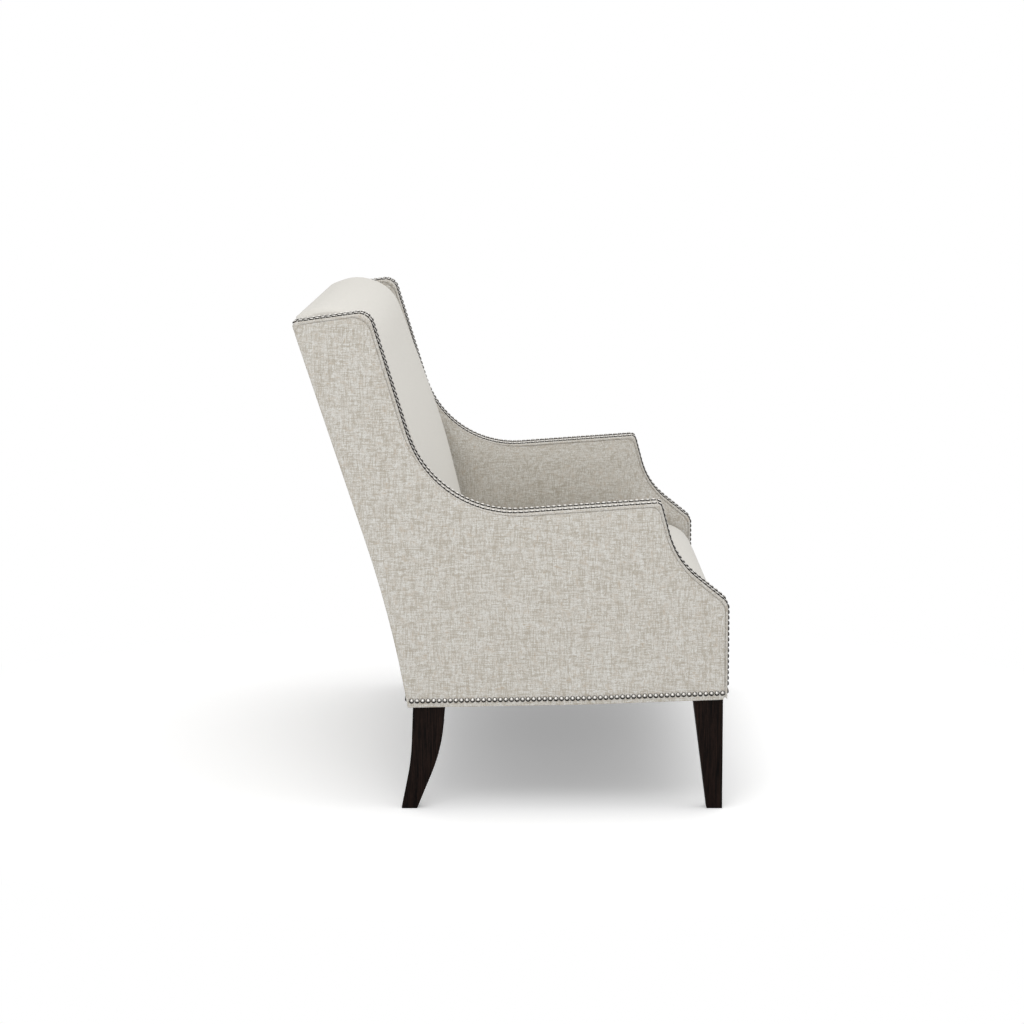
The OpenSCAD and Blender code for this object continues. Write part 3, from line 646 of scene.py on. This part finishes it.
def make_border(side):
    node = side + "_border"
    bm = merged_copy(node)
    low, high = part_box(node)
    for v in bm.verts:
        if v.co.x - low.x < side_ring:
            v.co.x += drawn_under
        elif high.x - v.co.x < side_ring:
            v.co.x -= drawn_under
    print(node, "faces:", len(bm.faces))
    return make_piece(bm, side + "_arm_border", linen, [node], sharp=50)


for side in ("left", "right"):
    make_border(side)

# %% [markdown]
# ## Back, front and underside
# The outside back is one tight piece of linen over the frame, and the front below the seat is a
# short plain strip. A thin black cloth is stretched over the seat rails and closes the underside.
# The outside back leans, so it gets the attribute that makes the weave lean with it.


# %% Make the flat covers
def make_flat_cover(node, name, material, edge_width):
    bm = merged_copy(node)
    edges = [e for e in bm.edges if e.calc_face_angle(0) > math.radians(60)]
    ease_edges(bm, edges, edge_width, segments=3)
    print(name, "faces:", len(bm.faces))
    return make_piece(bm, name, material, [node])


def add_lean(piece):
    normal = max(piece.data.polygons, key=lambda face: face.area).normal
    slope = -normal.z / normal.y
    lean = piece.data.attributes.new("lean", "FLOAT", "POINT")
    lean.data.foreach_set("value", [slope] * len(piece.data.vertices))
    print(piece.name, "leans", round(slope, 3))


outside = make_flat_cover("outside_back", "back_outside", linen, 0.0014)
add_lean(outside)
strip = make_flat_cover("front_panel", "seat_front_strip", cream, 0.0012)

# %% Stretch the cloth under the seat
underside = make_flat_cover("dust_cover", "underside_cloth", black_cloth, 0.0003)

# %% [markdown]
# ## Seat and back
# Both are crowned pads of foam under a tight plain cover. The convex hull of the cover and its foam
# is the closed form of the pad, remeshed into small even squares. A coarse copy of it is drawn in a
# little, and a short cloth simulation with air inside tightens that copy as wadding does. What lies
# against the arms and the frame is pinned. The moves of the coarse points are then carried over to
# the fine ones, outwards only, and they level off at a cap, because a tight cover gives little.
# The cap is 4 mm for the seat and 1 mm for the back. Normals are read into a list before any point
# moves, because Blender works them all out again after each move, which would take minutes. The
# taut cover draws the roll along the top of the back inwards, while a real one is stuffed harder,
# so the roll is raised afterwards, most at its rear and not at all at its sewn ends.


# %% Helpers for the pads
def hull_of(*nodes):
    bm = merged_copy(*nodes)
    made = bmesh.ops.convex_hull(bm, input=bm.verts)
    gone = [g for g in made["geom_interior"] + made["geom_unused"]
            if isinstance(g, bmesh.types.BMVert)]
    bmesh.ops.delete(bm, geom=gone, context="VERTS")
    return bm


def baked(piece):
    graph = bpy.context.evaluated_depsgraph_get()
    return bpy.data.meshes.new_from_object(piece.evaluated_get(graph))


def swap_mesh(piece, mesh):
    piece.modifiers.clear()
    piece.data = mesh
    set_material(piece, cream)
    for face in mesh.polygons:
        face.use_smooth = True


def remeshed(piece, voxel):
    remesh = piece.modifiers.new("even_squares", "REMESH")
    remesh.mode = "VOXEL"
    remesh.voxel_size = voxel
    swap_mesh(piece, baked(piece))


def outward_normals(piece):
    return [v.normal.copy() for v in piece.data.vertices]


print("pad helpers ready")


# %% Simulate the wadding
fine_voxel, mould_voxel = 0.008, 0.012
drawn_in, air_pressure, steps = 0.003, 4, 20


def set_tight_cloth(mould):
    wadding = mould.modifiers.new("wadding", "CLOTH")
    wadding.settings.use_pressure = True
    wadding.settings.uniform_pressure_force = air_pressure
    wadding.settings.effector_weights.gravity = 0
    wadding.settings.vertex_group_mass = "held"
    wadding.settings.quality = 4
    wadding.settings.tension_stiffness = wadding.settings.compression_stiffness = 40
    wadding.settings.bending_stiffness = 2
    wadding.collision_settings.use_collision = False
    wadding.collision_settings.use_self_collision = False


def wadding_moves(piece, free):
    mould = bpy.data.objects.new("mould", piece.data.copy())
    scene.collection.objects.link(mould)
    remeshed(mould, mould_voxel)
    points = mould.data.vertices
    loose = [v.index for v in points if free(v)]
    goal = [v.co.copy() for v in points]
    normals = outward_normals(mould)
    for i in loose:
        points[i].co -= normals[i] * drawn_in
    held = mould.vertex_groups.new(name="held")
    held.add(sorted(set(range(len(goal))) - set(loose)), 1.0, "REPLACE")
    set_tight_cloth(mould)
    for step in range(1, steps + 1):
        scene.frame_set(step)
    swelled = baked(mould)
    moves = [swelled.vertices[i].co - place for i, place in enumerate(goal)]
    scene.frame_set(1)
    bpy.data.objects.remove(mould)
    print(piece.name, "simulated points:", len(goal), "free:", len(loose))
    return goal, moves


print("voxels of the pad and of its mould:", fine_voxel, mould_voxel)


# %% Carry the moves over to the pad
def swell(piece, free, cap):
    goal, moves = wadding_moves(piece, free)
    tree = KDTree(len(goal))
    for i, place in enumerate(goal):
        tree.insert(place, i)
    tree.balance()
    for v, normal in zip(piece.data.vertices, outward_normals(piece)):
        total, weight = Vector(), 0
        for _, i, away in tree.find_range(v.co, mould_voxel * 2):
            share = math.exp(-((away / mould_voxel) ** 2))
            total += moves[i] * share
            weight += share
        way = total / weight if weight else Vector()
        out = max(0, way.dot(normal))
        v.co += normal * cap * math.tanh(out / cap)


def make_pad(name, nodes, free, cap):
    piece = make_piece(hull_of(*nodes), name, cream, nodes)
    remeshed(piece, fine_voxel)
    swell(piece, free, cap)
    print(name, "faces:", len(piece.data.polygons))
    return piece


print("simulated here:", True)

# %% Make the seat and the back
# What faces the rear or the floor, or lies at an end or a seam, isn't free to swell.
free_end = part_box("seat_cover")[1].x - 0.012
seat_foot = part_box("seat_cover")[0].z + 0.02


def seat_is_free(v):
    return abs(v.co.x) < free_end and v.co.z > seat_foot and v.normal.z > -0.3 and v.normal.y < 0.7


def back_is_free(v):
    return abs(v.co.x) < free_end and v.normal.y < 0.85 and v.normal.z > -0.8


seat_pad = make_pad("seat_pad", ["seat_cover", "seat_foam"], seat_is_free, cap=0.004)
back_pad = make_pad("back_pad", ["back_cover", "back_foam"], back_is_free, cap=0.001)


# %% Fill the roll along the top of the back
# Each length is measured inwards from the back's rear, its top or its sewn ends.
rear_starts, rear_full = 0.11, 0.03
roll_starts, roll_full = 0.12, 0.06
end_eased = 0.035


def eased_step(value, low, high):
    share = min(1, max(0, (value - low) / (high - low)))
    return share * share * (3 - 2 * share)


def fill_roll(piece, crest_rise, rear_rise):
    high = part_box("back_cover")[1]
    sewn_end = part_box("seat_cover")[1].x
    for v, normal in zip(piece.data.vertices, outward_normals(piece)):
        rear = eased_step(v.co.y, high.y - rear_starts, high.y - rear_full)
        upper = eased_step(v.co.z, high.z - roll_starts, high.z - roll_full)
        upper *= eased_step(normal.z, 0, 0.5)
        middle = eased_step(sewn_end - abs(v.co.x), 0, end_eased)
        v.co.z += (crest_rise + (rear_rise - crest_rise) * rear) * upper * middle


fill_roll(back_pad, crest_rise=0.003, rear_rise=0.0075)
print("roll filled, top of the back:", round(max(v.co.z for v in back_pad.data.vertices), 4))

# %% [markdown]
# ## Nailheads
# Each nailhead is a low dome with a thin rim, pressed into the cloth. One is spun from a short
# profile, then set on every place where the model has a dome. The place and direction of each
# come from that dome's flat underside. A value on each ring of the head says how high it lies, so
# that the metal is bright on the crown and darker at the rim, partly tarnish and partly painted
# shade, with a painted highlight on what faces up and painted shade on what faces down.


# %% Find the nails of the model
def nail_places(node, weld=0.00001):
    bm = bmesh.new()
    bm.from_mesh(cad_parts[node].data)
    bmesh.ops.remove_doubles(bm, verts=bm.verts, dist=weld)
    todo, places = set(bm.verts), []
    while todo:
        group, queue = set(), [next(iter(todo))]
        while queue:
            v = queue.pop()
            if v in group:
                continue
            group.add(v)
            queue += [e.other_vert(v) for e in v.link_edges]
        todo -= group
        faces = {f for v in group for f in v.link_faces}
        areas = {}
        for f in faces:
            key = tuple(round(c, 2) + 0.0 for c in f.normal)
            areas.setdefault(key, []).append(f)
        base = max(areas.values(), key=lambda fs: sum(f.calc_area() for f in fs))
        area = sum(f.calc_area() for f in base)
        centre = sum((f.calc_center_median() * f.calc_area() for f in base), Vector()) / area
        places.append((centre, -base[0].normal.copy()))
    bm.free()
    return places


print("rows of nails:", sum("nails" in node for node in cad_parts))


# %% Make one nailhead
def nail_head(radius, height, rings, turns):
    bm = bmesh.new()
    layer = bm.verts.layers.float.new("crown")
    dome_share, rim_share = 0.97, 0.12
    profile = [(radius, 0.0)]
    for i in range(rings):
        turn = math.pi / 2 * i / rings
        climb = rim_share + (1 - rim_share) * math.sin(turn)
        profile.append((radius * dome_share * math.cos(turn), height * climb))
    verts = [bm.verts.new((r, 0, z)) for r, z in profile]
    top = bm.verts.new((0, 0, height))
    row = verts + [top]
    for v in row:
        v[layer] = v.co.z / height
    edges = [bm.edges.new((a, b)) for a, b in zip(row, row[1:])]
    bmesh.ops.spin(bm, geom=row + edges, cent=(0, 0, 0), axis=(0, 0, 1), angle=math.tau,
                   steps=turns, use_merge=True)
    bmesh.ops.remove_doubles(bm, verts=bm.verts, dist=1e-6)
    bmesh.ops.recalc_face_normals(bm, faces=bm.faces)
    mesh = bpy.data.meshes.new("nail_head")
    bm.to_mesh(mesh)
    bm.free()
    return mesh


one_nail = nail_head(radius=0.0055, height=0.004, rings=4, turns=12)
print("faces of one nailhead:", len(one_nail.polygons))


# %% Give the nailheads a pewter finish with painted highlight and painted shade
# The dark colour is tarnish at the rim and painted shade under each head; the bright one is rubbed
# metal and a painted highlight on top.
tarnish_and_shade, rubbed_and_highlight = (0.02, 0.018, 0.016, 1), (0.58, 0.56, 0.53, 1)
tarnish_and_shade_ends, rub_and_highlight_full = 0.55, 1.1


def pewter_metal(spot_scale=240, spot_share=0.4, painted_top_highlight=0.35, painted_under_shade=1.1):
    material, tree, shader = new_material("pewter_tarnish_and_painted_light", roughness=0.34, metallic=1.0)
    crown = tree.nodes.new("ShaderNodeAttribute")
    crown.attribute_name = "crown"
    coords = tree.nodes.new("ShaderNodeTexCoord")
    tilt = tree.nodes.new("ShaderNodeSeparateXYZ")
    tree.links.new(coords.outputs["Normal"], tilt.inputs[0])
    spot_noise = streaks(tree, coords.outputs["Object"], [spot_scale] * 3, detail=3.0)
    spots = math_node(tree, "SUBTRACT", spot_noise, 0.5)
    spotted = math_node(tree, "MULTIPLY", spots, spot_share)
    # The crown value makes each head darker towards its rim: partly tarnish, partly painted shade.
    worn_and_rim_shade = math_node(tree, "ADD", crown.outputs["Fac"], spotted)
    # Painted highlight on faces that point up and painted shade on faces that point down, set by
    # the face's direction.
    upward = math_node(tree, "MAXIMUM", tilt.outputs["Z"], 0.0)
    downward = math_node(tree, "MINIMUM", tilt.outputs["Z"], 0.0)
    above = math_node(tree, "MULTIPLY", upward, painted_top_highlight)
    below = math_node(tree, "MULTIPLY", downward, painted_under_shade)
    lit = math_node(tree, "ADD", worn_and_rim_shade, math_node(tree, "ADD", above, below))
    colour = mix_colour(tree, ramp(tree, lit, tarnish_and_shade_ends, rub_and_highlight_full), tarnish_and_shade, rubbed_and_highlight)
    tree.links.new(colour, shader.inputs["Base Color"])
    return material


pewter = pewter_metal()
print("finish:", pewter.name)

# %% Set the nailheads
pressed_in = 0.0002


def set_nails(node, name):
    bm = bmesh.new()
    places = nail_places(node)
    for centre, axis in places:
        start = len(bm.verts)
        bm.from_mesh(one_nail)
        bm.verts.ensure_lookup_table()
        turn = axis.to_track_quat("Z", "X").to_matrix().to_4x4()
        sunk = Matrix.Translation(centre - axis * pressed_in)
        bmesh.ops.transform(bm, matrix=sunk @ turn, verts=bm.verts[start:])
    print(name, "nails:", len(places))
    make_piece(bm, name, pewter, [node], sharp=180)


for node in ("left_border_nails", "right_border_nails", "left_base_nails", "right_base_nails",
             "front_base_nails", "rear_base_nails"):
    set_nails(node, node.replace("nails", "nailheads"))

# %% [markdown]
# ## Legs
# The legs are solid stained wood: the front ones taper, and the rear ones sweep back. A copy of
# each solid gets its sharp edges eased by a small bevel, because a sanded edge catches the light.
# The top stays sharp, since it meets the frame out of sight.


# %% Make the legs
def make_leg(node):
    bm = merged_copy(node)
    below_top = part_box(node)[1].z - 0.001
    edges = [e for e in bm.edges if e.calc_face_angle(0) > math.radians(40)
             and all(v.co.z < below_top for v in e.verts)]
    ease_edges(bm, edges, width=0.0015, segments=2)
    print(node, "faces:", len(bm.faces))
    make_piece(bm, node.replace("_leg", "_stained_leg"), espresso, [node])


for side in ("left", "right"):
    for end in ("front", "rear"):
        make_leg(f"{side}_{end}_leg")

# %% [markdown]
# ## Floor
# A pale floor takes the soft shadow. Where nothing shades it, it is as white as the background:
# near the settee by a little glow that only the view and its reflections see, and further away
# because it fades to plain white, so that no horizon shows.


# %% Make the floor
def floor_material(glow, near, far, grey=0.92):
    material = bpy.data.materials.new("studio_floor")
    material.use_nodes = True
    tree = material.node_tree
    tree.nodes.clear()
    out = tree.nodes.new("ShaderNodeOutputMaterial")
    plain = tree.nodes.new("ShaderNodeBsdfDiffuse")
    plain.inputs["Color"].default_value = (grey, grey, grey, 1)
    lift = tree.nodes.new("ShaderNodeEmission")
    seen = seen_rays(tree)
    tree.links.new(math_node(tree, "MULTIPLY", seen, glow), lift.inputs["Strength"])
    add = tree.nodes.new("ShaderNodeAddShader")
    tree.links.new(plain.outputs[0], add.inputs[0])
    tree.links.new(lift.outputs[0], add.inputs[1])
    white = tree.nodes.new("ShaderNodeEmission")
    place = tree.nodes.new("ShaderNodeTexCoord").outputs["Object"]
    distance = tree.nodes.new("ShaderNodeVectorMath")
    distance.operation = "LENGTH"
    tree.links.new(place, distance.inputs[0])
    away = ramp(tree, distance.outputs["Value"], near, far)
    fade = tree.nodes.new("ShaderNodeMixShader")
    tree.links.new(math_node(tree, "MULTIPLY", away, seen), fade.inputs[0])
    tree.links.new(add.outputs[0], fade.inputs[1])
    tree.links.new(white.outputs[0], fade.inputs[2])
    tree.links.new(fade.outputs[0], out.inputs["Surface"])
    return material


def make_floor(half):
    bm = bmesh.new()
    bmesh.ops.create_grid(bm, x_segments=1, y_segments=1, size=half)
    mesh = bpy.data.meshes.new("studio_floor")
    bm.to_mesh(mesh)
    bm.free()
    floor = bpy.data.objects.new("studio_floor", mesh)
    scene.collection.objects.link(floor)
    set_material(floor, floor_material(glow=0.23, near=0.8, far=1.6))
    print("floor:", 2 * half, "m wide")


make_floor(half=30)
